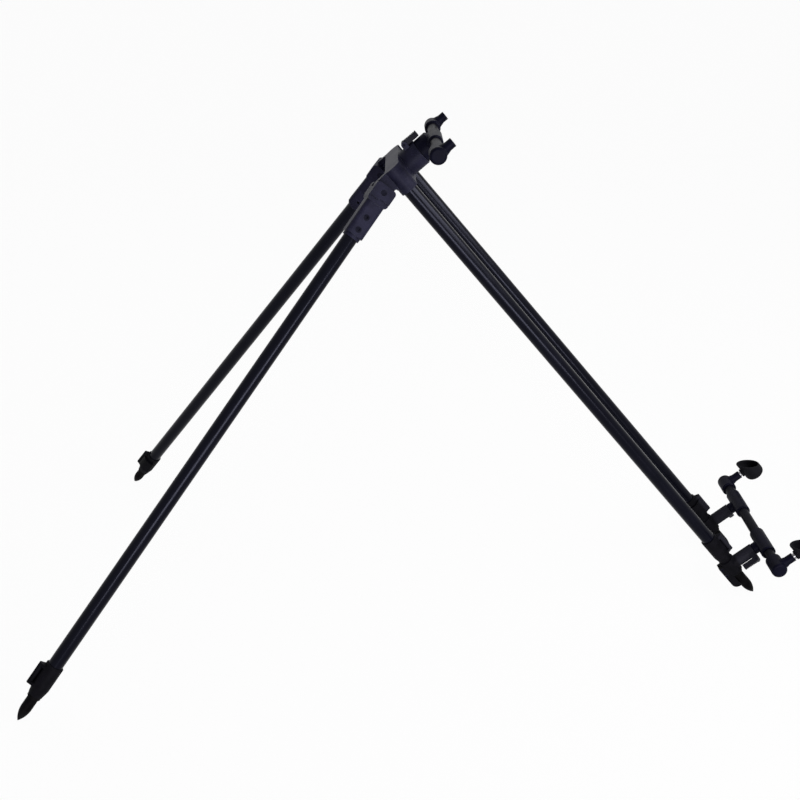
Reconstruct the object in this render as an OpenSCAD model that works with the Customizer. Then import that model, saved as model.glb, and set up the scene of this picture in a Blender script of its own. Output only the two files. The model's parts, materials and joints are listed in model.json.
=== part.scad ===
// Twin-beam fishing rod pod, standing steep on two splayed front legs and its two rear spikes.
// x runs from the front feet to the rod butts, y across the pod and z up, in millimetres.
// The left half is drawn, and the right half is its mirror image.

/* [Stance] */
// Beam length, from the front face of the head to the tip of a rear spike
beam_len = 844; // [740:1:1100]
// Leg length, from the hinge pin to the tip of its spike
leg_len = 825; // [740:0.5:1100]
// Angle between an opened leg and the beam
leg_open = 78.1; // [68:0.1:88]
// Outward roll of each leg hinge about its beam tube
leg_splay = 19.1; // [8:0.1:28]
// Spacing of the two beam tubes, centre to centre
gauge = 124; // [110:1:150]

/* [Tubes] */
// Outside diameter of the outer tubes
tube_od = 20; // [18:0.5:23]
// Wall of the outer tubes
tube_wall = 1.4; // [1:0.1:2]
// Wall of the inner tubes
inner_wall = 1.3; // [1:0.1:2]
// Play between an inner tube and its outer tube, at the radius
slide_gap = 0.3; // [0.2:0.05:0.5]
// Play of a part that turns or slides in its bore, at the radius
run_gap = 0.06; // [0.03:0.01:0.09]
// Play of a part that is fixed in its seat, at the radius
seat_gap = 0.05; // [0.02:0.01:0.08]
// Gap between flat faces that move past each other
face_gap = 0.3; // [0.2:0.05:0.5]
// Length of the guide bush at the top of an inner tube
guide_len = 26; // [16:1:40]
// Length of the guide bush that plugs into the inner tube
guide_plug = 14; // [8:1:15]

/* [Head] */
// Length of the collars that hold the beam tubes, and of the bridge between them
collar_len = 37; // [32:0.5:50]
// Wall of those collars
collar_wall = 2.5; // [2:0.1:4]
// Thickness of the front face, which closes the collars
head_face = 3; // [2:0.5:5]
// Height of the bridge between the collars
web_h = 22; // [19:0.5:25]
// Skin left round the pockets under the bridge
web_skin = 4; // [3:0.5:6]
// Diameter of the boss that carries the front post
boss_od = 36; // [30:0.5:40]
// Height of the boss above the line of the beam tubes
boss_top = 36.5; // [28:0.5:38]
// How far the front tee's neck is set in from the boss under it
neck_step = 1.2; // [0.5:0.1:4]
// Diameter of the screws that hold tubes and bars in their collars
grub_d = 5; // [4:0.5:6]

/* [Leg hinge] */
// Thickness of the head's tongue between the ears of a leg
tongue_t = 10; // [8:0.1:12]
// Radius of the tongue's round end
tongue_r = 9; // [7.5:0.1:10]
// Fillet between a tongue and its collar
tongue_fillet = 4.2; // [2:0.1:4.5]
// Clearance between a collar and the swinging ears below it
ear_clear = 1.4; // [1:0.1:6]
// How far the ears reach past the pin
ear_top = 9.5; // [8:0.1:11]
// How far the ears stand out beside the sleeve
ear_rim = 2; // [1:0.1:3]
// Corner radius of the ears
ear_round = 5; // [2:0.1:5.5]
// How far the ears' faces stand out over the sleeve's
ear_step = 2; // [1:0.1:2.8]
// Length of the jog in the lower edge of those faces
ear_jog = 1.8; // [0.8:0.1:3]
// How far the plate under the ears stands out over the sleeve
skirt_step = 0.3; // [0.2:0.1:0.8]
// Wall of the square sleeve round the top of a leg tube
sleeve_wall = 3; // [2.6:0.1:4]
// Length of that sleeve
sleeve_len = 61; // [52:0.5:75]
// Corner radius of the sleeve
sleeve_round = 6; // [3:0.5:7]
// Solid end of the sleeve, between its fork and the tube
sleeve_cap = 8; // [5:0.5:12]
// Diameter of the hinge pins
hinge_pin_d = 8; // [5:0.5:10]
// Diameter of a sleeve screw's head
sleeve_screw_d = 8; // [6:0.5:9]
// Depth of that head in the sleeve
sleeve_screw_h = 2; // [1.5:0.1:2.2]

/* [Foot clamps] */
// Wall of a clamp round its outer tube
clamp_wall = 2; // [1.6:0.1:3]
// Length of a clamp
clamp_len = 46; // [42:0.5:60]
// Length of its tapered nose
clamp_nose = 12; // [6:0.5:12]
// Length of the throat that grips the inner tube
throat_len = 8; // [6:0.5:12]
// Distance from the top of a clamp to its lever
tab_set = 5; // [3:0.5:8]
// Length of the lever with its two lugs
tab_len = 31; // [24:0.5:32]
// Thickness of a lug
lug_t = 4; // [3:0.5:5]
// Diameter of a lever's pin
lever_pin_d = 3; // [2.5:0.1:3.5]
// Diameter of a lever's knuckle
lever_eye_d = 7; // [6:0.1:8]
// Thickness of a lever's paddle
paddle_t = 3.2; // [2.4:0.1:4]
// How far a paddle reaches past the middle of its tube
paddle_drop = 6; // [2:0.5:8]

/* [Spikes] */
// Length of a leg's spike below its clamp
spike_len = 40; // [34:0.5:55]
// Diameter of the spikes
spike_od = 15; // [13:0.2:16]
// Length of a spike's pointed end
spike_point = 21; // [16:0.5:23]
// Radius of the small flat at the tip
spike_flat = 0.3; // [0.2:0.1:1]
// Thickness of the flange that stops an inner tube at its clamp
flange_t = 3.5; // [2:0.5:5]
// Length of a spike's plug in its inner tube
spike_plug = 22; // [15:1:35]

/* [Rear brackets] */
// Distance from a rear spike's tip up to its post
post_rise = 62; // [58:0.5:80]
// Wall of a bracket round the inner tube
bracket_wall = 3.2; // [2.6:0.1:4]
// Length of a bracket in front of its post
bracket_fore = 13; // [11:0.5:16]
// Length of a bracket behind its post
bracket_aft = 14; // [11:0.5:18]
// Depth of its pinch lug below the line of the beam tubes
pinch_drop = 17; // [16.5:0.1:20]
// Length of that lug behind its post, up to its round end
pinch_aft = 27; // [22:0.5:30]
// Width of that lug
pinch_w = 14; // [11:0.5:16]
// Radius of the lug's rear end
pinch_round = 9; // [5:0.5:10]
// Head diameter of the pinch screws
pinch_d = 5; // [4:0.1:5.4]
// Diameter of the socket that takes a post
socket_od = 19; // [17:0.5:22]
// Height of that socket above the line of the beam tubes
socket_top = 41; // [38:0.5:43]

/* [Bars] */
// Outside diameter of the bars that carry the rods
bar_od = 15; // [13:0.5:17]
// Wall of those bars
bar_wall = 2; // [1.5:0.1:2.5]
// Height of the front bar above the line of the beam tubes
front_bar_h = 60.5; // [59:0.5:63]
// Height of the rear bar above that line
rear_bar_h = 57.5; // [56:0.5:61]
// Distance from the middle of the front bar to its elbows
front_reach = 114; // [95:1:150]
// Distance from the middle of the rear bar to its elbows
rear_reach = 130; // [116:1:160]
// Wall of the tee round its bar
tee_wall = 3; // [2.4:0.1:4]
// Length of a tee along its bar
tee_len = 58; // [40:1:66]
// Diameter of the front post, which is the stem of its tee
front_stem_d = 14; // [12:0.5:16]
// Diameter of the rear posts, which are the stems of their tees
rear_stem_d = 12; // [10:0.5:13]
// Diameter of an elbow
elbow_od = 22.5; // [19:0.5:24]
// Radius of an elbow's round outer end
elbow_round = 4; // [2:0.5:6]
// Length of an elbow along its bar, up to the middle of its stub
elbow_len = 20; // [16:0.5:26]
// Diameter of an elbow's stub
stub_od = 12.6; // [12:0.2:15]
// Height of the stubs above the line of the beam tubes
stub_top = 84.5; // [82:0.5:88]
// Diameter of the thread in a stub, three eighths of an inch
thread_d = 9.52; // [8:0.02:10]
// Depth of that thread
thread_depth = 15; // [10:0.5:16]

/* [Post levers] */
// Thickness of a lever across its post
post_lever_t = 8; // [6:0.5:9]
// Width of a lever
post_lever_w = 10; // [8:0.5:12]
// Length of a lever from its pin
post_lever_len = 22; // [16:0.5:24]
// Height of the front lever's pin above the line of the beam tubes
front_pin_h = 25.5; // [20:0.5:28]
// Turn of a rear lever about its post, from straight behind it towards the outside
rear_lever_turn = 45; // [0:1:60]
// Thickness of the ears that carry it
post_ear_t = 3.4; // [2.5:0.1:4.5]
// Width of the slit that the cam closes
slit_w = 2; // [1:0.1:3]

/* [Butt cups] */
// Bore of a cup
cup_bore = 25.5; // [22:0.5:28]
// Wall of a cup
cup_wall = 2.4; // [1.8:0.1:3]
// Depth of a cup behind its stud
cup_tail = 19; // [14:0.5:26]
// Reach of its lower lip in front of the stud
cup_lip = 19; // [14:0.5:24]
// Slope of its mouth from square
cup_slope = 36; // [20:1:40]
// Gap between a stub and its cup, where the stud shows
cup_gap = 2.6; // [1.5:0.1:4]

/* [Hidden] */
$fn = 64;
left = -1;
right = 1;
far = 60;
casting = "#2b2b33";
anodised = "#15151d";
moulding = "#26262d";
rubber = "#1b1b20";
steel = "#b8b8bd";
black_steel = "#232327";

tube_r = tube_od / 2;
tube_bore = tube_r - tube_wall;
inner_r = tube_bore - slide_gap;
inner_bore = inner_r - inner_wall;
collar_r = tube_r + collar_wall;
clamp_r = tube_r + clamp_wall;
bracket_r = inner_r + bracket_wall;

sleeve_w = tube_od + 2 * sleeve_wall;
ear_half = sleeve_w / 2 + ear_rim;
ear_skirt = ear_round + 3;
hinge_set = ear_half;
hinge_drop = collar_r + sqrt(ear_half * ear_half + ear_top * ear_top) + ear_clear;
shoulder = tongue_r + face_gap;
sleeve_end = shoulder + sleeve_len;
sleeve_ring = 5;
screw_at = [shoulder + 0.48 * sleeve_len, shoulder + 0.78 * sleeve_len];

beam_tilt = atan(cos(leg_splay) * (hinge_drop + leg_len * sin(leg_open))
    / (beam_len - hinge_set - leg_len * cos(leg_open)));
head_z = beam_len * sin(beam_tilt);
leg_down = cos(leg_splay) * (hinge_drop + leg_len * sin(leg_open));
foot_x = (hinge_set + leg_len * cos(leg_open)) * cos(beam_tilt) - leg_down * sin(beam_tilt);

leg_clamp_at = leg_len - spike_len - clamp_len;
post_at = beam_len - post_rise;
bracket_at = post_at - bracket_fore;
beam_clamp_at = bracket_at - face_gap - clamp_len;
leg_inner_at = sleeve_end + guide_len;
beam_inner_at = collar_len + guide_len;

lever_pin_z = clamp_r + face_gap + lever_eye_d / 2;
lever_len = tab_len - 2 * lug_t - 2 * face_gap;
front_post_x = boss_od / 2 + 0.5;
front_pin_x = boss_od / 2 + face_gap + post_lever_t / 2;
rear_pin_x = socket_od / 2 + 1 + post_lever_t / 2;
post_pin_drop = post_lever_t / 2 + 0.5;
rear_lever_len = min(post_lever_len, socket_top - post_pin_drop - bracket_r - face_gap);
pinch_fore = bracket_fore - 5;
pinch_z = -(bracket_r + pinch_drop) / 2;
pinch_at = [4 - pinch_fore, bracket_aft - 5];

tee_r = bar_od / 2 + tee_wall;
bar_bore = bar_od / 2 - bar_wall;
rod_r = bar_bore - run_gap;
thread_r = thread_d / 2;
stud_r = thread_r - run_gap;
elbow_r = elbow_od / 2;
elbow_cap = elbow_r + 0.6;
cup_r = cup_bore / 2 + cup_wall;
cup_boss_h = 2.5;
cup_z = stub_top + cup_gap + cup_boss_h + cup_r;
rear_x = (post_at + cup_tail) * cos(beam_tilt) + (cup_z + cup_r * 0.75) * sin(beam_tilt);
origin_x = (foot_x + rear_x) / 2;

// Places

module on_side(side) mirror([0, side > 0 ? 1 : 0, 0]) children();

// Along the beam: x down the tubes from the head, z square to them and up.
module beam_frame() translate([-origin_x, 0, head_z]) rotate([0, beam_tilt, 0]) children();

// The left beam tube's own line.
module beam_line() beam_frame() translate([0, -gauge / 2, 0]) children();

// The plane that the left leg swings in, with its pin at hinge_set and -hinge_drop.
module leg_plane() beam_line() rotate([-leg_splay, 0, 0]) children();

// Along the left leg: x from the hinge pin to the foot, z towards the beam.
module leg_line() leg_plane() translate([hinge_set, 0, -hinge_drop]) rotate([0, leg_open, 0]) children();

module front_post_frame() beam_frame() translate([front_post_x, 0, 0]) children();
module rear_post_frame() beam_line() translate([post_at, 0, 0]) children();

// Turned so that a lever on the -x side stands behind its post and outside it.
module rear_lever_frame() rear_post_frame() rotate_lever() children();
module rotate_lever() rotate([0, 0, -rear_lever_turn]) mirror([1, 0, 0]) children();
module front_elbow_frame() front_post_frame() translate([0, -front_reach, front_bar_h]) children();
module rear_elbow_frame() beam_frame() translate([post_at, -rear_reach, rear_bar_h]) children();
module cup_frame() beam_frame() translate([post_at, -rear_reach, cup_z]) children();

// Shapes

module rod_x(r, from, to) translate([from, 0, 0]) rotate([0, 90, 0]) cylinder(r = r, h = to - from);

module rod_y(r, from, to) translate([0, from, 0]) rotate([-90, 0, 0]) cylinder(r = r, h = to - from);

module turned_x() rotate([0, 90, 0]) rotate_extrude() children();

module pipe_x(outer, bore, from, to) difference() {
    rod_x(outer, from, to);
    rod_x(bore, from - 1, to + 1);
}

module rounded_plate(w, h, r) {
    square([w - 2 * r, h], center = true);
    square([w, h - 2 * r], center = true);
    for (a = [-1, 1], b = [-1, 1])
        translate([a * (w / 2 - r), b * (h / 2 - r)]) circle(r);
}

// Socket screw along z with the top of its head at 0.
module socket_screw(head_d, head_h, shank_d, len) difference() {
    union() {
        translate([0, 0, -head_h]) cylinder(d = head_d, h = head_h);
        translate([0, 0, -len]) cylinder(d = shank_d, h = len - head_h);
    }
    translate([0, 0, -head_h * 0.7]) cylinder(d = head_d * 0.55, h = head_h, $fn = 6);
}

// Set screw that lies flush in a collar, from radius seat to radius top.
module grub_screw(seat, top) translate([0, 0, seat]) difference() {
    cylinder(d = grub_d - 2 * seat_gap, h = top - seat - 0.3);
    translate([0, 0, 0.7]) cylinder(d = grub_d * 0.5, h = top, $fn = 6);
}

// Foot clamp along x from 0, with its lever on the +z side.
module clamp_body() difference() {
    union() {
        turned_x() polygon([
            [0, 0], [clamp_r - 1, 0], [clamp_r, 1], [clamp_r, clamp_len - clamp_nose],
            [inner_r + 1.4, clamp_len], [0, clamp_len]
        ]);
        for (x = [tab_set, tab_set + tab_len - lug_t])
            translate([x, 0, 0]) rotate([90, 0, 90]) linear_extrude(lug_t) clamp_lug();
    }
    rod_x(tube_r + seat_gap, -1, clamp_len - throat_len);
    rod_x(inner_r + run_gap, 0, clamp_len + 1);
    translate([clamp_len - throat_len, -slit_w / 2, 0]) cube([throat_len + 1, slit_w, clamp_r + 1]);
    translate([0, 0, lever_pin_z]) rod_x(lever_pin_d / 2 + seat_gap, 0, clamp_len);
}

module clamp_lug() {
    foot = clamp_r * 0.78;
    translate([0, lever_pin_z]) circle(d = lever_eye_d);
    polygon([
        [-foot, clamp_r * 0.5], [foot, clamp_r * 0.5],
        [lever_eye_d / 2, lever_pin_z], [-lever_eye_d / 2, lever_pin_z]
    ]);
}

module clamp_pin() translate([0, 0, lever_pin_z]) rod_x(lever_pin_d / 2, tab_set, tab_set + tab_len);

// Lever that wraps round the +y side of its clamp.
module clamp_lever() difference() {
    union() {
        translate([0, 0, lever_pin_z]) rod_x(lever_eye_d / 2, lever_from(), lever_from() + lever_len);
        intersection() {
            pipe_x(clamp_r + face_gap + paddle_t, clamp_r + face_gap, lever_from(), lever_from() + lever_len);
            translate([0, 0, -paddle_drop]) cube([far, far, far]);
        }
        paddle_lip();
    }
    translate([0, 0, lever_pin_z]) rod_x(lever_pin_d / 2 + run_gap, 0, clamp_len);
}

// Bead along the paddle's free edge, to open it by.
module paddle_lip() {
    lip_r = paddle_t * 0.6;
    mid = clamp_r + face_gap + paddle_t / 2 + lip_r * 0.4;
    translate([0, sqrt(mid * mid - paddle_drop * paddle_drop), -paddle_drop])
        rod_x(lip_r, lever_from(), lever_from() + lever_len);
}

function lever_from() = tab_set + lug_t + face_gap;

// Spike along x with its tip at 0, its flange at -len and its plug behind that.
module spike_body(len) {
    bulge = spike_od / 2 - spike_flat;
    arc = (spike_point * spike_point + bulge * bulge) / (2 * bulge);
    turned_x() {
        translate([0, -spike_point]) intersection() {
            translate([spike_od / 2 - arc, 0]) circle(arc, $fn = 128);
            square([spike_od / 2, spike_point]);
        }
        translate([0, -len]) square([spike_od / 2, len - spike_point]);
        translate([0, -len]) square([inner_r + 0.8, flange_t]);
        translate([0, -len - spike_plug]) square([inner_bore - seat_gap, spike_plug]);
    }
}

// Guide bush along x that ends at 0, where the inner tube starts.
module guide_body() {
    rod_x(tube_bore - run_gap, -guide_len + guide_plug, 0);
    rod_x(inner_bore - seat_gap, -0.5, guide_plug);
}

// Ears that carry a post lever, on the -x side of a post, with the pin at distance reach.
module post_ears(reach, pin_z) for (side = [-1, 1])
    translate([0, side * (post_lever_w / 2 + face_gap + post_ear_t / 2), pin_z]) rotate([90, 0, 0])
        linear_extrude(post_ear_t, center = true) {
            translate([-reach, 0]) circle(d = post_lever_t);
            translate([-reach, -post_lever_t / 2]) square([reach - 4, post_lever_t]);
        }

module post_pin(reach, pin_z) translate([-reach, 0, pin_z])
    rod_y(lever_pin_d / 2, -post_ears_half(), post_ears_half());

module post_pin_hole(reach, pin_z, gap) translate([-reach, 0, pin_z])
    rod_y(lever_pin_d / 2 + gap, -far, far);

function post_ears_half() = post_lever_w / 2 + face_gap + post_ear_t;

// Cam lever that hangs by len from its pin, grooved on its outer face.
module cam_lever(reach, pin_z, len) difference() {
    translate([-reach, 0, pin_z]) rotate([90, 0, 0])
        linear_extrude(post_lever_w, center = true) cam_lever_outline(len);
    post_pin_hole(reach, pin_z, run_gap);
}

module cam_lever_outline(len) {
    t = post_lever_t;
    groove = 1.2;
    circle(d = t);
    difference() {
        translate([-t / 2, -len]) square([t - 0.4, len]);
        for (k = [1 : 5])
            translate([-t / 2, 2.2 * groove * k - len]) circle(d = groove);
    }
}

// Tee round a bar along y, with its stem down z to foot and its neck down to neck_z.
module tee_body(bar_h, neck_r, neck_z, stem_r, foot) difference() {
    union() {
        translate([0, 0, bar_h]) rotate([90, 0, 0]) tee_barrel();
        rotate_extrude() polygon([
            [0, neck_z], [neck_r - 0.8, neck_z], [neck_r, neck_z + 0.8],
            [neck_r, bar_h - 5.5], [neck_r - 2.5, bar_h - 3], [0, bar_h - 3]
        ]);
        translate([0, 0, foot]) cylinder(r = stem_r, h = bar_h - foot);
    }
    translate([0, 0, bar_h]) rod_y(bar_od / 2 + seat_gap, -far, far);
    translate([0, 0, bar_h]) rotate([0, 90, 0]) cylinder(d = grub_d, h = far);
}

module tee_barrel() rotate_extrude() polygon([
    [0, -tee_len / 2], [tee_r - 1.5, -tee_len / 2], [tee_r, 1.5 - tee_len / 2],
    [tee_r, tee_len / 2 - 1.5], [tee_r - 1.5, tee_len / 2], [0, tee_len / 2]
]);

module tee_screw(bar_h) translate([0, 0, bar_h]) rotate([0, 90, 0]) grub_screw(bar_od / 2 + seat_gap, tee_r);

module bar_tube(reach) difference() {
    rod_y(bar_od / 2, elbow_len + face_gap - reach, reach - elbow_len - face_gap);
    rod_y(bar_bore, -reach, reach);
}

// Left elbow at the origin, with its bar towards +y and its stub up z by rise.
module elbow_body(rise) difference() {
    union() {
        rotate([90, 0, 0]) rotate_extrude() elbow_profile();
        cylinder(d = stub_od, h = rise);
        cylinder(r1 = elbow_r - 0.8, d2 = stub_od, h = elbow_od * 0.72);
    }
    rod_y(rod_r + seat_gap, -rod_r, elbow_len + 1);
    translate([0, 0, rise - thread_depth]) cylinder(r = thread_r, h = thread_depth + 1);
}

module elbow_profile() {
    polygon([
        [0, -elbow_len], [elbow_r - 1.5, -elbow_len], [elbow_r, 1.5 - elbow_len],
        [elbow_r, elbow_cap - elbow_round], [0, elbow_cap - elbow_round]
    ]);
    square([elbow_r - elbow_round, elbow_cap]);
    translate([elbow_r - elbow_round, elbow_cap - elbow_round]) intersection() {
        circle(elbow_round);
        square(elbow_round);
    }
}

// Sliding rod of the left elbow, which stops short of the middle of its bar.
module arm_rod(reach) rod_y(rod_r, -rod_r + 0.5, reach - 8);

// Cup along x with its mouth towards -x and its stud pad below.
module cup_body() difference() {
    union() {
        cup_outside();
        translate([0, 0, -cup_r - cup_boss_h]) cylinder(d = stub_od + 1, h = cup_boss_h + cup_wall + 1);
    }
    cup_inside();
    translate([-cup_lip, 0, -cup_r]) rotate([0, cup_slope, 0])
        translate([-far, -far, -far / 2]) cube([far, 2 * far, 3 * far]);
    translate([0, 0, -cup_r - cup_boss_h - 1]) cylinder(r = stud_r + seat_gap, h = cup_boss_h + 2);
}

module cup_profile(r, tail, round) {
    translate([0, -far]) square([r, far + tail - round]);
    square([r - round, tail]);
    translate([r - round, tail - round]) intersection() {
        circle(round);
        square(round);
    }
}

module cup_outside() turned_x() cup_profile(cup_r, cup_tail, 8);

module cup_inside() turned_x() cup_profile(cup_bore / 2, cup_tail - cup_wall, 6);

// Head and beam

module head_casting() color(casting) difference() {
    union() {
        beam_frame() head_bridge();
        for (side = [left, right]) on_side(side) {
            beam_line() rod_x(collar_r, 0, collar_len);
            leg_plane() hinge_tongue();
        }
    }
    for (side = [left, right]) on_side(side) {
        beam_line() rod_x(tube_r + seat_gap, head_face, far);
        beam_line() translate([collar_len - grub_d, 0, 0]) cylinder(d = grub_d, h = far);
        leg_plane() translate([hinge_set, 0, -hinge_drop]) rod_y(hinge_pin_d / 2 + seat_gap, -far, far);
    }
    front_post_frame() {
        translate([0, 0, -web_h / 2 + head_face]) cylinder(r = front_stem_d / 2 + run_gap, h = 2 * far);
        translate([-far, -slit_w / 2, web_h / 2 + 1]) cube([far, slit_w, far]);
        post_pin_hole(front_pin_x, front_pin_h, seat_gap);
    }
}

module head_bridge() {
    difference() {
        translate([0, -gauge / 2, -web_h / 2]) cube([collar_len, gauge, web_h]);
        for (side = [left, right]) on_side(side) bridge_pocket();
    }
    translate([front_post_x, 0, 0]) {
        cylinder(d = boss_od, h = boss_top);
        post_ears(front_pin_x, front_pin_h);
    }
}

module bridge_pocket() {
    from = collar_r - gauge / 2 + web_skin;
    translate([web_skin, from, -web_h / 2 - 1])
        cube([collar_len - 2 * web_skin, -boss_od / 2 - from, web_h - web_skin + 1]);
}

// Tongue of a leg hinge with the heel that an opened leg rests against.
module hinge_tongue() rotate([90, 0, 0]) linear_extrude(tongue_t, center = true) {
    translate([hinge_set, -hinge_drop]) {
        circle(tongue_r);
        rotate(-leg_open) translate([0, -ear_half]) square([tongue_r, ear_half]);
    }
    translate([0, -hinge_drop]) square([hinge_set + tongue_r, hinge_drop - tube_r]);
    translate([hinge_set + tongue_r - 0.5, -collar_r - tongue_fillet]) difference() {
        square([tongue_fillet + 0.5, tongue_fillet + collar_r - tube_r]);
        translate([tongue_fillet + 0.5, 0]) circle(tongue_fillet);
    }
}

module beam_tube(side) color(anodised) on_side(side) beam_line()
    pipe_x(tube_r, tube_bore, head_face, beam_clamp_at + clamp_len - throat_len);

module beam_clamp(side) color(moulding) on_side(side) beam_line() translate([beam_clamp_at, 0, 0]) clamp_body();

module beam_lever(side) color(moulding) on_side(side) beam_line() translate([beam_clamp_at, 0, 0]) clamp_lever();

module head_screws() color(black_steel) for (side = [left, right])
    on_side(side) beam_line() translate([collar_len - grub_d, 0, 0]) grub_screw(tube_r, collar_r);

module hinge_pins() color(black_steel) for (side = [left, right])
    on_side(side) leg_plane() translate([hinge_set, 0, -hinge_drop])
        rod_y(hinge_pin_d / 2, -sleeve_w / 2 - ear_step, sleeve_w / 2 + ear_step);

module frame_lever_pins() color(black_steel) {
    for (side = [left, right])
        on_side(side) beam_line() translate([beam_clamp_at, 0, 0]) clamp_pin();
    front_post_frame() post_pin(front_pin_x, front_pin_h);
}

// Legs

module leg_knuckle(side) color(casting) on_side(side) leg_line() difference() {
    union() {
        translate([(shoulder + ear_skirt - ear_top) / 2, 0, 0]) rotate([90, 0, 0])
            linear_extrude(sleeve_w + 2 * ear_step, center = true)
                rounded_plate(shoulder + ear_skirt + ear_top, 2 * ear_half, ear_round);
        translate([shoulder, 0, 0]) rotate([0, 90, 0])
            linear_extrude(sleeve_len - sleeve_ring) rounded_plate(sleeve_w, sleeve_w, sleeve_round);
        rod_x(tube_r + sleeve_wall * 0.6, shoulder, sleeve_end);
    }
    translate([-far, -tongue_t / 2 - face_gap, -far]) cube([far + shoulder, tongue_t + 2 * face_gap, 2 * far]);
    for (side = [-1, 1]) on_side(side) skirt_faces();
    rod_x(tube_r + seat_gap, shoulder + sleeve_cap, sleeve_end + 1);
    rod_y(hinge_pin_d / 2 + run_gap, -sleeve_w, sleeve_w);
    for (x = screw_at)
        translate([x, -sleeve_w / 2, 0]) rotate([90, 0, 0]) {
            translate([0, 0, -sleeve_screw_h]) cylinder(r = sleeve_screw_d / 2 + seat_gap, h = far);
            cylinder(r = sleeve_screw_d / 4 + seat_gap, h = 2 * sleeve_w, center = true);
        }
}

// What is cut from the -y face of the plate under the ears, from a jogged line on.
module skirt_faces() {
    translate([shoulder, -far - sleeve_w / 2 - skirt_step, 0]) cube([far, far, far]);
    translate([shoulder + ear_jog, -far - sleeve_w / 2 - skirt_step, -far]) cube([far, far, 2 * far]);
}

module leg_tube(side) color(anodised) on_side(side) leg_line()
    pipe_x(tube_r, tube_bore, shoulder + sleeve_cap, leg_clamp_at + clamp_len - throat_len);

module leg_clamp_place() leg_line() translate([leg_clamp_at, 0, 0]) mirror([0, 0, 1]) children();

module leg_clamp(side) color(moulding) on_side(side) leg_clamp_place() clamp_body();

module leg_lever(side) color(moulding) on_side(side) leg_clamp_place() clamp_lever();

module leg_lever_pin(side) color(black_steel) on_side(side) leg_clamp_place() clamp_pin();

module leg_screws(side) color(black_steel) on_side(side) leg_line() for (x = screw_at)
    translate([x, -sleeve_w / 2, 0]) rotate([90, 0, 0])
        socket_screw(sleeve_screw_d, sleeve_screw_h, sleeve_screw_d / 2, sleeve_wall - seat_gap);

module leg_inner_tube(side) color(anodised) on_side(side) leg_line()
    pipe_x(inner_r, inner_bore, leg_inner_at, leg_len - spike_len);

module leg_guide(side) color(moulding) on_side(side) leg_line() translate([leg_inner_at, 0, 0]) guide_body();

module leg_spike(side) color(black_steel) on_side(side) leg_line() translate([leg_len, 0, 0]) spike_body(spike_len);

// Rear slide

function beam_inner_end() = post_at + bracket_aft;

module beam_inner_tube(side) color(anodised) on_side(side) beam_line()
    pipe_x(inner_r, inner_bore, beam_inner_at, beam_inner_end());

module beam_guides() color(moulding) for (side = [left, right])
    on_side(side) beam_line() translate([beam_inner_at, 0, 0]) guide_body();

module beam_spike(side) color(black_steel) on_side(side) beam_line()
    translate([beam_len, 0, 0]) spike_body(post_rise - bracket_aft);

module post_bracket(side) color(moulding) on_side(side) rear_post_frame() difference() {
    union() {
        turned_x() polygon([
            [0, -bracket_fore], [bracket_r - 1, -bracket_fore], [bracket_r, 1 - bracket_fore],
            [bracket_r, bracket_aft - 1], [bracket_r - 1, bracket_aft], [0, bracket_aft]
        ]);
        rotate([90, 0, 0]) linear_extrude(pinch_w, center = true) pinch_lug();
        cylinder(d = socket_od, h = socket_top);
        rotate_lever() post_ears(rear_pin_x, socket_top - post_pin_drop);
    }
    rod_x(inner_r + seat_gap, -far, bracket_aft);
    rod_x(inner_r + 0.8 + seat_gap, bracket_aft, far);
    translate([-far, -slit_w / 2, -far]) cube([2 * far, slit_w, far]);
    for (x = pinch_at)
        translate([x, -pinch_w / 2, pinch_z]) rotate([90, 0, 0]) {
            translate([0, 0, -pinch_d / 2]) cylinder(r = pinch_d / 2 + seat_gap, h = far);
            translate([0, 0, -pinch_w]) cylinder(r = pinch_d / 4 + seat_gap, h = pinch_w);
        }
    translate([0, 0, post_floor()]) cylinder(r = rear_stem_d / 2 + run_gap, h = far);
    rotate_lever() translate([-far, -slit_w / 2, socket_top / 2]) cube([far, slit_w, far]);
    rotate_lever() post_pin_hole(rear_pin_x, socket_top - post_pin_drop, seat_gap);
}

function post_floor() = inner_r + 3;

// Split lug under a bracket, whose screws pinch it on the inner tube.
module pinch_lug() {
    translate([-pinch_fore, -pinch_drop]) square([pinch_fore + pinch_aft, pinch_drop]);
    translate([pinch_aft, pinch_round - pinch_drop]) circle(pinch_round);
}

module pinch_screws() color(black_steel) for (side = [left, right])
    on_side(side) rear_post_frame() for (x = pinch_at)
        translate([x, -pinch_w / 2, pinch_z]) rotate([90, 0, 0])
            socket_screw(pinch_d, pinch_d / 2, pinch_d / 2, pinch_w);

module post_lever_pins() color(black_steel) for (side = [left, right])
    on_side(side) rear_lever_frame() post_pin(rear_pin_x, socket_top - post_pin_drop);

module post_lever(side) color(moulding) on_side(side) rear_lever_frame()
    cam_lever(rear_pin_x, socket_top - post_pin_drop, rear_lever_len);

module front_post_lever() color(moulding) front_post_frame()
    translate([0, 0, front_pin_h]) mirror([0, 0, 1]) cam_lever(front_pin_x, 0, post_lever_len);

// Bars

module front_tee() color(casting) front_post_frame()
    tee_body(front_bar_h, boss_od / 2 - neck_step, boss_top + face_gap, front_stem_d / 2, head_face - web_h / 2 + 1);

module front_bar() color(anodised) front_post_frame() translate([0, 0, front_bar_h]) bar_tube(front_reach);

module front_tee_screw() color(black_steel) front_post_frame() tee_screw(front_bar_h);

module rear_tee(side) color(casting) on_side(side) rear_post_frame()
    tee_body(rear_bar_h, socket_od / 2 - 1, socket_top + face_gap, rear_stem_d / 2, post_floor() + 1);

module rear_bar() color(anodised) beam_frame() translate([post_at, 0, rear_bar_h]) bar_tube(rear_reach);

module rear_tee_screws() color(black_steel) for (side = [left, right])
    on_side(side) rear_post_frame() tee_screw(rear_bar_h);

module front_elbow(side) color(casting) on_side(side) front_elbow_frame() elbow_body(stub_top - front_bar_h);

module front_rod(side) color(anodised) on_side(side) front_elbow_frame() arm_rod(front_reach);

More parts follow.
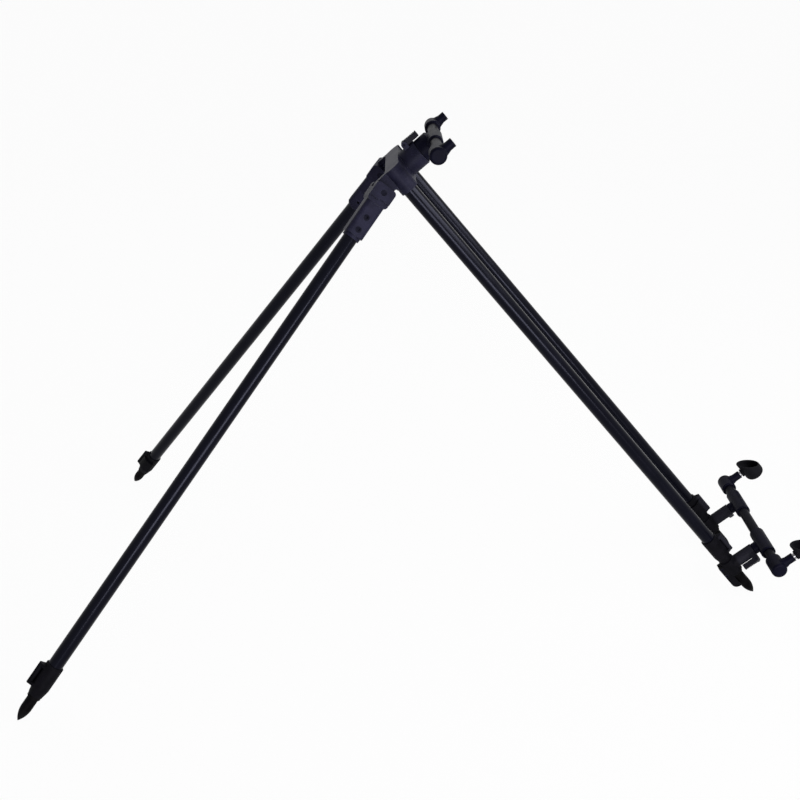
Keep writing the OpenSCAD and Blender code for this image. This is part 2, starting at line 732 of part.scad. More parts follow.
module rear_elbow(side) color(casting) on_side(side) rear_elbow_frame() elbow_body(stub_top - rear_bar_h);

module rear_rod(side) color(anodised) on_side(side) rear_elbow_frame() arm_rod(rear_reach);

module cup_stud(side) color(steel) on_side(side) cup_frame()
    translate([0, 0, stub_top - thread_depth + 1 - cup_z]) cylinder(r = stud_r, h = cup_z - stub_top + thread_depth - 1 - cup_r + 1);

module butt_cup(side) color(rubber) on_side(side) cup_frame() cup_body();

head_casting();
beam_tube(left);  // left_beam_tube
beam_tube(right);  // right_beam_tube
beam_clamp(left);  // left_beam_clamp
beam_clamp(right);  // right_beam_clamp
head_screws();
hinge_pins();
frame_lever_pins();
beam_lever(left);  // left_beam_lever
beam_lever(right);  // right_beam_lever
leg_knuckle(left);  // left_leg_knuckle
leg_knuckle(right);  // right_leg_knuckle
leg_tube(left);  // left_leg_tube
leg_tube(right);  // right_leg_tube
leg_clamp(left);  // left_leg_clamp
leg_clamp(right);  // right_leg_clamp
leg_screws(left);  // left_leg_screws
leg_screws(right);  // right_leg_screws
leg_lever_pin(left);  // left_leg_lever_pin
leg_lever_pin(right);  // right_leg_lever_pin
leg_lever(left);  // left_leg_lever
leg_lever(right);  // right_leg_lever
leg_inner_tube(left);  // left_leg_inner_tube
leg_inner_tube(right);  // right_leg_inner_tube
leg_guide(left);  // left_leg_guide
leg_guide(right);  // right_leg_guide
leg_spike(left);  // left_leg_spike
leg_spike(right);  // right_leg_spike
beam_inner_tube(left);  // left_beam_inner_tube
beam_inner_tube(right);  // right_beam_inner_tube
beam_guides();
beam_spike(left);  // left_beam_spike
beam_spike(right);  // right_beam_spike
post_bracket(left);  // left_post_bracket
post_bracket(right);  // right_post_bracket
pinch_screws();
post_lever_pins();
post_lever(left);  // left_post_lever
post_lever(right);  // right_post_lever
front_post_lever();
front_tee();
front_bar();
front_tee_screw();
rear_tee(left);  // left_rear_tee
rear_tee(right);  // right_rear_tee
rear_bar();
rear_tee_screws();
front_rod(left);  // left_front_rod
front_rod(right);  // right_front_rod
front_elbow(left);  // left_front_elbow
front_elbow(right);  // right_front_elbow
rear_rod(left);  // left_rear_rod
rear_rod(right);  // right_rear_rod
rear_elbow(left);  // left_rear_elbow
rear_elbow(right);  // right_rear_elbow
cup_stud(left);  // left_cup_stud
cup_stud(right);  // right_cup_stud
butt_cup(left);  // left_butt_cup
butt_cup(right);  // right_butt_cup
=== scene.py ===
import json
import math

import bmesh
import bpy
from mathutils import Matrix, Quaternion, Vector


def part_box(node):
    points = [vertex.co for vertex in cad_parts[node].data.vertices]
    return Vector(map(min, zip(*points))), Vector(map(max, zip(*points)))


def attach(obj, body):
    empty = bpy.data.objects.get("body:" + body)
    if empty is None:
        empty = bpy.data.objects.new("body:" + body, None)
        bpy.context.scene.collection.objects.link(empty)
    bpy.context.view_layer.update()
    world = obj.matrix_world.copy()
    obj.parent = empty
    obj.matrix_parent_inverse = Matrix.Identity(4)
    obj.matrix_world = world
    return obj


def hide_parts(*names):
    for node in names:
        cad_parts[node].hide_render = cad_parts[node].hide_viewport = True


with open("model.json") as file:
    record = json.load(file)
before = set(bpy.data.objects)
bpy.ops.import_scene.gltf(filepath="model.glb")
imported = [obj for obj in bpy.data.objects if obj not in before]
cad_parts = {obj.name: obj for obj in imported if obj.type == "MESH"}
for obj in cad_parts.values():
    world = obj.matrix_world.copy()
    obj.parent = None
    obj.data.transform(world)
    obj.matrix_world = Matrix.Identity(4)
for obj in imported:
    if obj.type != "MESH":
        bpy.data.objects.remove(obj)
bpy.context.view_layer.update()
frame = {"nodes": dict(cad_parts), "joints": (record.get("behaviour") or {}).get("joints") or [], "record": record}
nodes = frame["nodes"]
joints = {joint["name"]: joint for joint in frame["joints"]}
mounts = {mount["name"]: mount for mount in frame["record"]["mounts"]}
mm = 0.001
beamAxis = Vector(joints["beam_extend"]["axis"])
postAxis = Vector(joints["left_cup_turn"]["axis"])


# Camera

cameraSet = {
    "place": (-0.0452, -1.4514, 0.9092),  # metres, on the left side of the pod
    "yaw": -0.127,  # degrees, to the right of square on
    "pitch": 22.839,  # degrees, looking down
    "roll": 0.863,  # degrees, clockwise
    "sensor": 36,
    "lens": 48.27,
}


def placeCamera(look):
    yaw, pitch, roll = (math.radians(look[key]) for key in ("yaw", "pitch", "roll"))
    ahead = Vector((math.sin(yaw) * math.cos(pitch),
                    math.cos(yaw) * math.cos(pitch),
                    -math.sin(pitch)))
    level = Vector((math.cos(yaw), -math.sin(yaw), 0))
    below = ahead.cross(level)
    across = level * math.cos(roll) + below * math.sin(roll)
    down = below * math.cos(roll) - level * math.sin(roll)
    data = bpy.data.cameras.new("camera")
    data.sensor_width = look["sensor"]
    data.lens = look["lens"]
    camera = bpy.data.objects.new("camera", data)
    turn = Matrix((across, -down, -ahead)).transposed()
    camera.matrix_world = Matrix.Translation(look["place"]) @ turn.to_4x4()
    bpy.context.scene.collection.objects.link(camera)
    bpy.context.scene.camera = camera


placeCamera(cameraSet)
print("camera placed")


# Shader sockets that take part in Python sums

class Wire:
    def __init__(self, tree, socket=None):
        self.tree = tree
        self.socket = socket

    def make(self, kind, settings=None, sockets=None, out=0):
        node = self.tree.nodes.new("ShaderNode" + kind)
        for key, value in (settings or {}).items():
            setattr(node, key, value)
        for key, value in (sockets or {}).items():
            if isinstance(value, Wire):
                self.tree.links.new(value.socket, node.inputs[key])
            else:
                node.inputs[key].default_value = value
        return Wire(self.tree, node.outputs[out] if len(node.outputs) else None)

    def sum(self, operation, *values):
        return self.make("Math", {"operation": operation}, dict(enumerate(values)))

    def __add__(self, other):
        return self.sum("ADD", self, other)

    __radd__ = __add__

    def __sub__(self, other):
        return self.sum("SUBTRACT", self, other)

    def __rsub__(self, other):
        return self.sum("SUBTRACT", other, self)

    def __mul__(self, other):
        return self.sum("MULTIPLY", self, other)

    __rmul__ = __mul__


def startFinish(name):
    material = bpy.data.materials.new(name)
    material.use_nodes = True
    material.node_tree.nodes.clear()
    return material, Wire(material.node_tree)


def tint(colour):
    return (*colour, 1)


def grain(wire, place, scale, detail=3, rough=0.55):
    return wire.make("TexNoise", {"noise_dimensions": "3D"},
                     {"Vector": place, "Scale": scale, "Detail": detail, "Roughness": rough})


def ease(wire, value, low, high):  # 0 below low, 1 above high, smooth between
    return wire.make("MapRange", {"interpolation_type": "SMOOTHSTEP"},
                     {"Value": value, "From Min": low, "From Max": high,
                      "To Min": 0, "To Max": 1})


def alongAxis(wire, place, axis):
    return wire.make("VectorMath", {"operation": "DOT_PRODUCT"},
                     {0: place, 1: axis}, out="Value")


def blendColour(wire, share, first, second):
    first = first if isinstance(first, Wire) else tint(first)
    second = second if isinstance(second, Wire) else tint(second)
    return wire.make("Mix", {"data_type": "RGBA"}, {0: share, 6: first, 7: second}, out=2)


edgeSet = {
    "samples": 6,
    "lean": (0.004, 0.12),  # how far the softened normal leans where an edge starts and is full
}


def roundedEdges(wire, radius):  # softened normal, and a mask that is 1 on the edges
    soft = wire.make("Bevel", {"samples": edgeSet["samples"]}, {"Radius": radius})
    flat = wire.make("NewGeometry", out="Normal")
    lean = alongAxis(wire, soft, flat)
    return soft, ease(wire, 1 - lean, *edgeSet["lean"])


hairSet = {
    "level": 0.5,  # the lines follow the noise where it has this value
    "patchScale": 0.35,
    "patchSpan": (0.52, 0.7),
}


def hairlines(wire, place, scale, width):  # thin scuffs, in patches
    field = grain(wire, place, scale, detail=2, rough=0.4)
    line = 1 - ease(wire, wire.sum("ABSOLUTE", field - hairSet["level"]), 0, width)
    patch = grain(wire, place, scale * hairSet["patchScale"], detail=1)
    return line * ease(wire, patch, *hairSet["patchSpan"])


def endFinish(wire, sockets):
    shader = wire.make("BsdfPrincipled", None, sockets, out="BSDF")
    wire.make("OutputMaterial", None, {"Surface": shader})


# Satin black paint over cast alloy

castSet = {
    "dark": (0.0062, 0.0060, 0.0140),
    "pale": (0.0120, 0.0116, 0.0250),
    "bare": (0.070, 0.070, 0.090),  # where the edges have rubbed
    "peel": 900,  # ripples of the paint, per metre
    "peelDepth": 0.06 * mm,
    "bump": 0.5,
    "clouds": 55,
    "cloudSpan": (0.3, 0.7),
    "scuffs": 95,
    "scuffWidth": 0.006,
    "scuffDip": 0.4,
    "scuffBare": 0.12,  # how much of the alloy a scuff shows
    "rubs": 160,
    "rubSpan": (0.38, 0.68),
    "rubBare": 0.55,
    "edge": 0.7 * mm,
    "rough": 0.36,
    "cloudRough": 0.16,
    "peelRough": 0.08,
    "rubGloss": 0.1,
    "specular": 0.065,
    "sheen": (0.84, 0.83, 1.0),  # what the paint leaves of the reflections
}
teeSet = {
    **castSet,
    "dark": (0.0012, 0.0012, 0.0044),
    "pale": (0.0027, 0.0027, 0.0082),
    "specular": 0.04,
}


def castFinish(name, look):
    material, wire = startFinish("satin_paint_on_" + name)
    place = wire.make("TexCoord", out="Object")
    soft, edge = roundedEdges(wire, look["edge"])
    peel = grain(wire, place, look["peel"], detail=4, rough=0.6)
    cloud = grain(wire, place, look["clouds"], detail=4)
    scuff = hairlines(wire, place, look["scuffs"], look["scuffWidth"])
    rub = edge * ease(wire, grain(wire, place, look["rubs"], detail=4), *look["rubSpan"])
    colour = blendColour(wire, ease(wire, cloud, *look["cloudSpan"]), look["dark"], look["pale"])
    bare = rub * look["rubBare"] + scuff * look["scuffBare"]
    colour = blendColour(wire, bare, colour, look["bare"])
    rough = look["rough"] + cloud * look["cloudRough"] + peel * look["peelRough"]
    rough = rough - rub * look["rubGloss"]
    bump = wire.make("Bump", None, {"Strength": look["bump"], "Distance": look["peelDepth"],
                                    "Height": peel - scuff * look["scuffDip"], "Normal": soft})
    endFinish(wire, {"Base Color": colour, "Roughness": rough, "Normal": bump,
                     "Specular IOR Level": look["specular"],
                     "Specular Tint": tint(look["sheen"])})
    return material


# Black anodised tube, drawn along its axis

tubeSet = {
    "dark": (0.0008, 0.0008, 0.0022),
    "pale": (0.0018, 0.0018, 0.0042),
    "rubbed": (0.05, 0.05, 0.06),
    "lines": 2600,  # drawing marks round the tube, per metre
    "lineDepth": 0.004 * mm,
    "bump": 0.04,
    "bands": 160,
    "bandShare": 0.6,
    "touches": 38,  # where hands have been
    "touchShare": 0.4,
    "touchSpan": (0.4, 0.75),
    "shadeSpan": (0.35, 0.65),
    "scuffs": 420,
    "scuffWidth": 0.008,
    "scuffRub": 0.10,
    "stretch": 0.985,  # share of the length taken out, so that the marks run along
    "edge": 0.25 * mm,
    "edgeRub": 0.5,
    "rough": 0.20,
    "lineRough": 0.02,
    "touchRough": 0.05,
    "specular": 0.085,
    "sheen": (0.72, 0.74, 1.0),  # what the dye leaves of the reflections
}
barSet = {
    **tubeSet,
    "dark": (0.0020, 0.0019, 0.0038),
    "pale": (0.0034, 0.0033, 0.0058),
    "rough": 0.4,
    "specular": 0.035,
}


def tubeFinish(name, axis, look):
    material, wire = startFinish("anodised_" + name)
    place = wire.make("TexCoord", out="Object")
    along = alongAxis(wire, place, axis)
    pull = wire.make("VectorMath", {"operation": "SCALE"},
                     {0: axis, "Scale": along * look["stretch"]})
    drawn = wire.make("VectorMath", {"operation": "SUBTRACT"}, {0: place, 1: pull})
    edge = roundedEdges(wire, look["edge"])[1]
    lines = grain(wire, drawn, look["lines"], detail=2, rough=0.5)
    bands = grain(wire, drawn, look["bands"], detail=3)
    touch = grain(wire, place, look["touches"], detail=4, rough=0.6)
    scuff = hairlines(wire, drawn, look["scuffs"], look["scuffWidth"])
    mixed = bands * look["bandShare"] + touch * look["touchShare"]
    shade = ease(wire, mixed, *look["shadeSpan"])
    colour = blendColour(wire, shade, look["dark"], look["pale"])
    rub = edge * look["edgeRub"] + scuff * look["scuffRub"]
    colour = blendColour(wire, rub, colour, look["rubbed"])
    handled = ease(wire, touch, *look["touchSpan"])
    rough = look["rough"] + lines * look["lineRough"] + handled * look["touchRough"]
    bump = wire.make("Bump", None, {"Strength": look["bump"], "Distance": look["lineDepth"],
                                    "Height": lines})
    endFinish(wire, {"Base Color": colour, "Roughness": rough, "Normal": bump,
                     "Specular IOR Level": look["specular"],
                     "Specular Tint": tint(look["sheen"])})
    return material


# Glass-filled nylon from a spark-textured mould

nylonSet = {
    "dark": (0.0014, 0.0013, 0.0022),
    "pale": (0.0034, 0.0031, 0.0050),
    "whitened": (0.034, 0.034, 0.040),  # edges that have been knocked
    "socket": (0.0105, 0.0102, 0.0150),  # painted light: a lighter tone on the sockets above the beams, standing in for the light that falls on them from above
    "socketRise": (10 * mm, 16 * mm),  # above the beams
    "spark": 2300,
    "sparkDepth": 0.05 * mm,
    "bump": 0.6,
    "flow": 70,
    "flowSpan": (0.32, 0.7),
    "knocks": 210,
    "knockSpan": (0.42, 0.7),
    "knockShare": 0.5,
    "edge": 0.6 * mm,
    "rough": 0.44,
    "flowRough": 0.14,
    "sparkRough": 0.1,
    "specular": 0.035,
}


def nylonFinish(look):
    material, wire = startFinish("spark_textured_nylon")
    place = wire.make("TexCoord", out="Object")
    low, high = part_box("left_beam_tube")
    level = ((low + high) / 2).dot(postAxis)
    rise = alongAxis(wire, place, postAxis) - level
    soft, edge = roundedEdges(wire, look["edge"])
    spark = grain(wire, place, look["spark"], detail=2, rough=0.7)
    flow = grain(wire, place, look["flow"], detail=5, rough=0.6)
    knock = edge * ease(wire, grain(wire, place, look["knocks"], detail=3), *look["knockSpan"])
    colour = blendColour(wire, ease(wire, flow, *look["flowSpan"]), look["dark"], look["pale"])
    # painted light: the bracket turns lighter above the beams, as if its upper sockets were lit from above
    colour = blendColour(wire, ease(wire, rise, *look["socketRise"]), colour, look["socket"])
    colour = blendColour(wire, knock * look["knockShare"], colour, look["whitened"])
    rough = look["rough"] + flow * look["flowRough"] + spark * look["sparkRough"]
    bump = wire.make("Bump", None, {"Strength": look["bump"], "Distance": look["sparkDepth"],
                                    "Height": spark, "Normal": soft})
    endFinish(wire, {"Base Color": colour, "Roughness": rough, "Normal": bump,
                     "Specular IOR Level": look["specular"]})
    return material


# Matt rubber of the butt cups

rubberSet = {
    "dark": (0.0026, 0.0025, 0.0038),
    "dusty": (0.0080, 0.0078, 0.0102),
    "pores": 1500,
    "poreDepth": 0.05 * mm,
    "bump": 0.5,
    "bloom": 85,
    "bloomSpan": (0.35, 0.7),
    "upSpan": (-0.2, 0.9),  # how far a face looks up where dust starts to lie and is full
    "dustShare": 0.6,
    "poreShare": 0.15,
    "rough": 0.58,
    "bloomRough": 0.14,
    "dustRough": 0.08,
    "specular": 0.06,
}


def rubberFinish(look):
    material, wire = startFinish("matt_cup_rubber")
    place = wire.make("TexCoord", out="Object")
    facing = wire.make("NewGeometry", out="Normal")
    up = wire.make("SeparateXYZ", None, {0: facing}, out="Z")
    pores = grain(wire, place, look["pores"], detail=3, rough=0.65)
    bloom = grain(wire, place, look["bloom"], detail=4, rough=0.6)
    dust = ease(wire, up, *look["upSpan"]) * ease(wire, bloom, *look["bloomSpan"])
    pale = dust * look["dustShare"] + pores * look["poreShare"]
    colour = blendColour(wire, pale, look["dark"], look["dusty"])
    rough = look["rough"] + bloom * look["bloomRough"] + dust * look["dustRough"]
    bump = wire.make("Bump", None, {"Strength": look["bump"], "Distance": look["poreDepth"],
                                    "Height": pores})
    endFinish(wire, {"Base Color": colour, "Roughness": rough, "Normal": bump,
                     "Specular IOR Level": look["specular"]})
    return material


# Bright turned steel of the cup studs

brightSet = {
    "clean": (0.56, 0.56, 0.58),
    "dull": (0.34, 0.33, 0.33),
    "turning": 3200,
    "turningDepth": 0.01 * mm,
    "bump": 0.3,
    "stains": 260,
    "stainSpan": (0.4, 0.72),
    "edge": 0.2 * mm,
    "rough": 0.24,
    "stainRough": 0.2,
    "markRough": 0.06,
}


def brightFinish(look):
    material, wire = startFinish("turned_steel")
    place = wire.make("TexCoord", out="Object")
    soft, edge = roundedEdges(wire, look["edge"])
    marks = grain(wire, place, look["turning"], detail=2)
    stain = ease(wire, grain(wire, place, look["stains"], detail=4), *look["stainSpan"])
    colour = blendColour(wire, stain * (1 - edge), look["clean"], look["dull"])
    rough = look["rough"] + stain * look["stainRough"] + marks * look["markRough"]
    bump = wire.make("Bump", None, {"Strength": look["bump"], "Distance": look["turningDepth"],
                                    "Height": marks, "Normal": soft})
    endFinish(wire, {"Base Color": colour, "Metallic": 1.0, "Roughness": rough, "Normal": bump})
    return material


# Blackened steel of the spikes, screws and pins

blackSet = {
    "oxide": (0.0012, 0.0010, 0.0013),
    "worn": (0.0030, 0.0026, 0.0032),
    "steel": (0.06, 0.06, 0.066),
    "ground": 26 * mm,  # height up to which the points are rubbed by soil
    "soilSpan": (0.42, 0.62),
    "soilBare": 0.06,  # how much of the steel the soil lays bare
    "blotches": 120,
    "blotchSpan": (0.35, 0.65),
    "fine": 1900,
    "fineDepth": 0.02 * mm,
    "bump": 0.4,
    "scratches": 340,
    "scratchWidth": 0.02,
    "scratchBare": 0.2,
    "scratchDip": 0.5,
    "edge": 0.3 * mm,
    "edgeSpan": (0.4, 0.65),
    "edgeBare": 0.5,
    "metal": 0.8,  # metallic share of bare steel
    "rough": 0.34,
    "blotchRough": 0.2,
    "fineRough": 0.06,
    "specular": 0.02,
}
screwSet = {
    **blackSet,
    "oxide": (0.0034, 0.0034, 0.0074),
    "worn": (0.0070, 0.0069, 0.0140),
    "ground": 0.1 * mm,
}


def blackFinish(name, look):
    material, wire = startFinish("blackened_" + name)
    place = wire.make("TexCoord", out="Object")
    soft, edge = roundedEdges(wire, look["edge"])
    blotch = grain(wire, place, look["blotches"], detail=5, rough=0.6)
    fine = grain(wire, place, look["fine"], detail=3)
    height = wire.make("SeparateXYZ", None, {0: place}, out="Z")
    scratch = hairlines(wire, place, look["scratches"], look["scratchWidth"])
    soil = (1 - ease(wire, height, 0, look["ground"])) * ease(wire, blotch, *look["soilSpan"])
    knocked = edge * ease(wire, blotch, *look["edgeSpan"]) * look["edgeBare"]
    bare = knocked + soil * (look["soilBare"] + scratch * look["scratchBare"])
    shade = ease(wire, blotch, *look["blotchSpan"])
    colour = blendColour(wire, shade, look["oxide"], look["worn"])
    colour = blendColour(wire, bare, colour, look["steel"])
    rough = look["rough"] + blotch * look["blotchRough"] + fine * look["fineRough"]
    bump = wire.make("Bump", None, {"Strength": look["bump"], "Distance": look["fineDepth"],
                                    "Height": fine - scratch * look["scratchDip"], "Normal": soft})
    endFinish(wire, {"Base Color": colour, "Metallic": bare * look["metal"], "Roughness": rough,
                     "Normal": bump, "Specular IOR Level": look["specular"]})
    return material


finishes = {
    "cast_alloy": castFinish("head_and_knuckles", castSet),
    "tee": castFinish("tees_and_elbows", teeSet),
    "moulding": nylonFinish(nylonSet),
    "cup_rubber": rubberFinish(rubberSet),
    "bright_steel": brightFinish(brightSet),
    "black_steel": blackFinish("spikes", blackSet),
    "screw": blackFinish("screws", screwSet),
}
tubeFinishes = {
    "left_leg": tubeFinish("left_leg", Vector(joints["left_leg_extend"]["axis"]), tubeSet),
    "right_leg": tubeFinish("right_leg", Vector(joints["right_leg_extend"]["axis"]), tubeSet),
    "beam": tubeFinish("beam", beamAxis, tubeSet),
    "bar": tubeFinish("bar", Vector((0, 1, 0)), barSet),
}


def tubeRun(name):  # which way a tube's drawing marks run
    for run in ("left_leg", "right_leg", "beam"):
        if run in name:
            return run
    return "bar"


def dressNode(name, node):
    slot = node.data.materials[0].name.split(".")[0]
    if name.endswith(("_tee", "_elbow")):
        slot = "tee"
    if name.endswith(("_screw", "_screws", "_pin", "_pins")):
        slot = "screw"
    finish = tubeFinishes[tubeRun(name)] if slot == "anodised" else finishes[slot]
    for place in range(len(node.data.materials)):
        node.data.materials[place] = finish


for name, node in nodes.items():
    dressNode(name, node)
print("finishes:", len(finishes) + len(tubeFinishes), "on", len(nodes), "nodes")


# Meshes made here

def addPiece(name, mesh, finish, body):
    mesh.materials.append(finish)
    piece = bpy.data.objects.new(name, mesh)
    bpy.context.scene.collection.objects.link(piece)
    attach(piece, body)
    return piece


def gridMesh(name, rows, place, closeEnds=False):
    # rows of points that each run once round, joined row to row
    built = bmesh.new()
    rings = [[built.verts.new(place @ Vector(point)) for point in row] for row in rows]
    count = len(rings[0])
    for low, high in zip(rings, rings[1:]):
        for k in range(count):
            built.faces.new((low[k], low[(k + 1) % count], high[(k + 1) % count], high[k]))
    if closeEnds:
        built.faces.new(reversed(rings[0]))
        built.faces.new(rings[-1])
    bmesh.ops.recalc_face_normals(built, faces=built.faces)
    for face in built.faces:
        face.smooth = True
    mesh = bpy.data.meshes.new(name)
    built.to_mesh(mesh)
    built.free()
    return mesh


def placeAt(origin, xAxis, zAxis):
    xAxis, zAxis = Vector(xAxis).normalized(), Vector(zAxis).normalized()
    turn = Matrix((xAxis, zAxis.cross(xAxis), zAxis)).transposed()
    return Matrix.Translation(origin) @ turn.to_4x4()


# Butt cups, with a rounded lip and a rounded tail

cupSet = {
    "wall": 2.4,  # millimetres, like the other lengths here
    "tail": 19,
    "lip": 19,
    "slope": 36,  # degrees, how the mouth is cut back
    "outerRound": 8,
    "innerRound": 6,
    "padRadius": 6.8,
    "padHeight": 2.5,
    "padFillet": 1.2,
    "padChamfer": 0.5,
    "padSink": 0.6,  # how far the pad runs into the cup's wall
    "steps": 96,  # points round the cup
    "wallShares": (0.15, 0.4, 0.7, 1),  # rows down the straight wall
    "cornerSteps": 8,
    "lipSteps": 12,
    "floorShare": 0.5,
    "padSteps": 48,
    "filletSteps": 5,
}
tinyRing = 0.05  # radius that closes the middle of a round end


def turnsRound(count):
    return [2 * math.pi * k / count for k in range(count)]


def cupRows(bore, look):
    outer = bore + look["wall"]
    middle = bore + look["wall"] / 2
    half = look["wall"] / 2
    rise = math.tan(math.radians(look["slope"]))
    turns = turnsRound(look["steps"])

    def ring(radius, along):
        return [(along(a), radius * math.sin(a), radius * math.cos(a)) for a in turns]

    def mouth(a):
        return -look["lip"] + (middle * math.cos(a) + outer) * rise

    def wallRings(radius, bottom, corner):
        straight = bottom - corner
        rows = []
        for share in look["wallShares"]:
            rows.append(ring(radius, lambda a, s=share:
                             (mouth(a) + half) * (1 - s) + straight * s))
        for k in range(1, look["cornerSteps"] + 1):
            bend = math.pi / 2 * k / look["cornerSteps"]
            rows.append(ring(radius - corner * (1 - math.cos(bend)),
                             lambda _, s=math.sin(bend): straight + corner * s))
        rows.append(ring((radius - corner) * look["floorShare"], lambda _: bottom))
        rows.append(ring(tinyRing, lambda _: bottom))
        return rows

    lip = []
    for k in range(look["lipSteps"] + 1):
        bend = math.pi * k / look["lipSteps"]
        lip.append(ring(middle + half * math.cos(bend),
                        lambda a, s=math.sin(bend): mouth(a) + half - half * s))
    outside = wallRings(outer, look["tail"], look["outerRound"])
    inside = wallRings(bore, look["tail"] - look["wall"], look["innerRound"])
    return list(reversed(outside)) + lip + inside


def cupPad(outer, look):
    # round pad below the cup, swept into its side by a fillet
    radius, fillet, chamfer = look["padRadius"], look["padFillet"], look["padChamfer"]
    top = -math.sqrt(outer ** 2 - radius ** 2) + look["padSink"]
    foot = -outer - look["padHeight"]
    profile = [(tinyRing, foot), (radius - chamfer, foot),
               (radius, foot + chamfer), (radius, top - fillet)]
    for k in range(1, look["filletSteps"] + 1):
        bend = math.pi / 2 * k / look["filletSteps"]
        profile.append((radius + fillet * (1 - math.cos(bend)),
                        top - fillet + fillet * math.sin(bend)))
    turns = turnsRound(look["padSteps"])
    return [[(r * math.cos(a), r * math.sin(a), z) for a in turns] for r, z in profile]


# Threads of the cup studs and of the alarm sockets

threadSet = {
    "pitch": 1.27,  # millimetres, twenty turns to the inch
    "depth": 0.5,
    "flank": 4,  # how fast the sides of the thread fall, in depths per turn
    "land": 0.5,  # the crest stays flat this far down the flank
    "round": 40,  # points round the thread
    "rowsPerTurn": 8,
    "studRadius": 4.7,
    "socketSkin": 0.02,  # the thread stands this far inside the socket's wall
    "socketFloor": 1,
    "socketLip": 0.6,
}


def threadRows(crest, low, high, look):
    # a wall of that radius with one groove or ridge that winds along it
    count = max(2, round((high - low) / look["pitch"] * look["rowsPerTurn"]))
    rows = []
    for step in range(count + 1):
        z = low + (high - low) * step / count
        row = []
        for k in range(look["round"]):
            turn = k / look["round"]
            phase = (z / look["pitch"] - turn) % 1
            ramp = min(1, max(0, abs(phase - 0.5) * look["flank"] - look["land"]))
            radius = crest - look["depth"] * ramp
            angle = 2 * math.pi * turn
            row.append((radius * math.cos(angle), radius * math.sin(angle), z))
        rows.append(row)
    return rows


def scaled(place):
    return place @ Matrix.Scale(mm, 4)


def makeCup(side):
    mount = mounts[side + "_rod_butt_cup"]
    bore = mount["dims"]["r_mm"]
    place = scaled(placeAt(mount["pos_m"], -Vector(mount["axis"]), postAxis))
    cup = addPiece(side + "_cup_shell", gridMesh("cup", cupRows(bore, cupSet), place),
                   finishes["cup_rubber"], side + "_cup")
    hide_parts(side + "_butt_cup")
    addPiece(side + "_cup_pad", gridMesh("pad", cupPad(bore + cupSet["wall"], cupSet), place),
             finishes["cup_rubber"], side + "_cup")


def makeStud(side):
    low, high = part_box(side + "_cup_stud")
    middle = (low + high) / 2
    studPlace = scaled(placeAt(middle, beamAxis, postAxis))
    studRadius = threadSet["studRadius"]
    studLength = (high.z - low.z - 2 * studRadius * mm * abs(beamAxis.z)) / postAxis.z / mm
    rows = threadRows(studRadius, -studLength / 2, studLength / 2, threadSet)
    stud = addPiece(side + "_threaded_stud", gridMesh("stud", rows, studPlace, True),
                    finishes["bright_steel"], side + "_cup")
    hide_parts(side + "_cup_stud")


def threadSocket(side):
    socket = mounts[side + "_alarm_socket"]
    radius, depth = socket["dims"]["r_mm"], socket["dims"]["length_mm"]
    socketPlace = scaled(placeAt(socket["pos_m"], beamAxis, socket["axis"]))
    rows = threadRows(radius - threadSet["socketSkin"], threadSet["socketFloor"] - depth,
                      -threadSet["socketLip"], threadSet)
    addPiece(side + "_alarm_thread", gridMesh("thread", rows, socketPlace),
             finishes["tee"], side + "_front_arm")


for side in ("left", "right"):
    makeCup(side)
    makeStud(side)
    threadSocket(side)
print("cups, studs and threads made")


# Floor, world and lamps

floorSet = {"span": 90, "colour": (0.7, 0.7, 0.7), "whiteShare": 0.965}
worldSet = {"fill": 0.15, "white": 1.0}
lampSet = {
    # each soft box: lean in degrees, size as width and height in metres
    "low_strip": {
        "place": (0.5, -2.2, 0.26),
        "aim": (0, 0, 0.35),
        "lean": 0,
        "size": (1.7, 0.4),
        "radiance": 20,
    },
    "upper_right": {
        "place": (1.35, -0.85, 1.4),
        "aim": (0.05, 0, 0.5),
        "lean": 15,
        "size": (1.8, 0.42),
        "radiance": 13,
    },
    "behind": {
        "place": (-0.2, 1.5, 2.3),
        "aim": (0, 0, 0.4),
        "lean": 0,
        "size": (1.8, 0.8),
        "radiance": 3,
    },
}


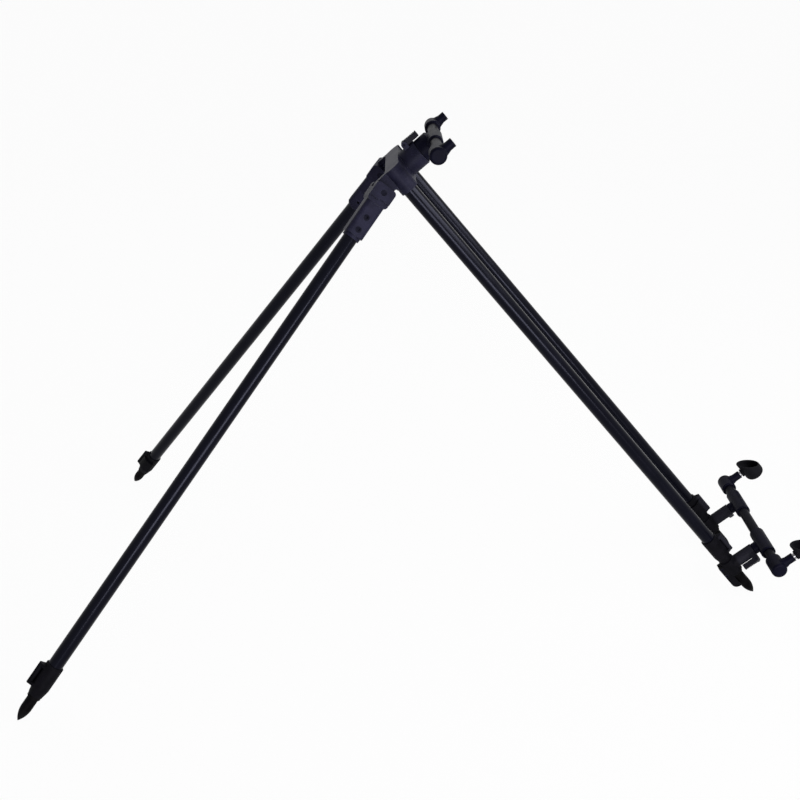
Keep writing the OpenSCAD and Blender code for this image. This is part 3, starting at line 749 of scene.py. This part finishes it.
def whiteMask(wire):
    # rays that see the white surroundings
    path = wire.make("LightPath", out="Is Camera Ray")
    glossy = wire.make("LightPath", out="Is Glossy Ray")
    through = wire.make("LightPath", out="Is Transmission Ray")
    return wire.sum("MINIMUM", path + glossy + through, 1)


def makeFloor(look):
    half = look["span"] / 2
    mesh = bpy.data.meshes.new("floor")
    corners = [(-half, -half, 0), (half, -half, 0), (half, half, 0), (-half, half, 0)]
    mesh.from_pydata(corners, [], [(0, 1, 2, 3)])
    floor = bpy.data.objects.new("floor", mesh)
    bpy.context.scene.collection.objects.link(floor)
    material, wire = startFinish("pale_floor")
    paper = wire.make("BsdfDiffuse", None, {"Color": tint(look["colour"])})
    clear = wire.make("BsdfTransparent", None, {"Color": (1, 1, 1, 1)})  # shows the white world
    share = whiteMask(wire) * look["whiteShare"]
    shader = wire.make("MixShader", None, {0: share, 1: paper, 2: clear})
    wire.make("OutputMaterial", None, {"Surface": shader})
    mesh.materials.append(material)


def lightWorld(look):
    world = bpy.data.worlds.new("studio")
    bpy.context.scene.world = world
    world.use_nodes = True
    world.node_tree.nodes.clear()
    wire = Wire(world.node_tree)
    strength = look["fill"] + whiteMask(wire) * (look["white"] - look["fill"])
    sky = wire.make("Background", None, {"Color": (1, 1, 1, 1), "Strength": strength})
    wire.make("OutputWorld", None, {"Surface": sky})


def hangLamp(name, look):
    data = bpy.data.lights.new(name, "AREA")
    data.shape = "RECTANGLE"
    data.size, data.size_y = look["size"]
    data.energy = look["radiance"] * math.pi * data.size * data.size_y
    lamp = bpy.data.objects.new(name, data)
    away = Vector(look["aim"]) - Vector(look["place"])
    lamp.location = look["place"]
    lean = Quaternion((0, 0, 1), math.radians(look["lean"]))
    lamp.rotation_euler = (away.to_track_quat("-Z", "Y") @ lean).to_euler()
    lamp.visible_camera = False
    bpy.context.scene.collection.objects.link(lamp)


makeFloor(floorSet)
lightWorld(worldSet)
for name, look in lampSet.items():
    hangLamp(name, look)
bpy.context.scene.view_settings.view_transform = "Standard"
print("floor, world and", len(lampSet), "lamps")
